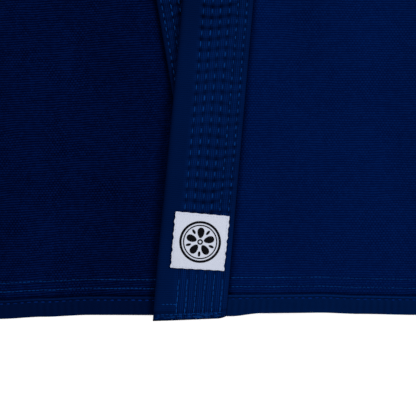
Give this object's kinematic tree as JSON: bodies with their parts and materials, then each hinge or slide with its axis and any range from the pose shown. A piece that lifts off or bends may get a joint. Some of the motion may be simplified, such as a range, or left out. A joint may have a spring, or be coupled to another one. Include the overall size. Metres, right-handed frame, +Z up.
{
  "type": "jiu-jitsu gi jacket",
  "caption": "Heavy woven wrap jacket laid flat, front up with the sleeves spread, with a thick stitched lapel band and taped hems.",
  "frame": {"origin": "on the surface that the jacket lies on, below the middle of the whole jacket", "axes": "+X to the wearer's left, along the spread sleeves; +Y from the hem to the collar; +Z up, out of the front of the jacket"},
  "size_m": [1.592, 0.8415, 0.0185],
  "materials": {
    "pearl_weave": "navy cotton pearl weave, matte",
    "lapel_cloth": "navy ribbed cotton, matte, with rows of blue stitches",
    "hem_tape": "smooth navy cotton tape, matte",
    "woven_patch": "white woven patch with a black motif"
  },
  "bodies": {
    "root": {"back": "pearl_weave", "front_left": "pearl_weave", "front_right": "pearl_weave", "sleeve_left": "pearl_weave", "sleeve_right": "pearl_weave", "lapel_band": "lapel_cloth", "hem_tape_back": "hem_tape", "hem_tape_front_left": "hem_tape", "hem_tape_front_right": "hem_tape", "label": "woven_patch"}
  },
  "joints": []
}
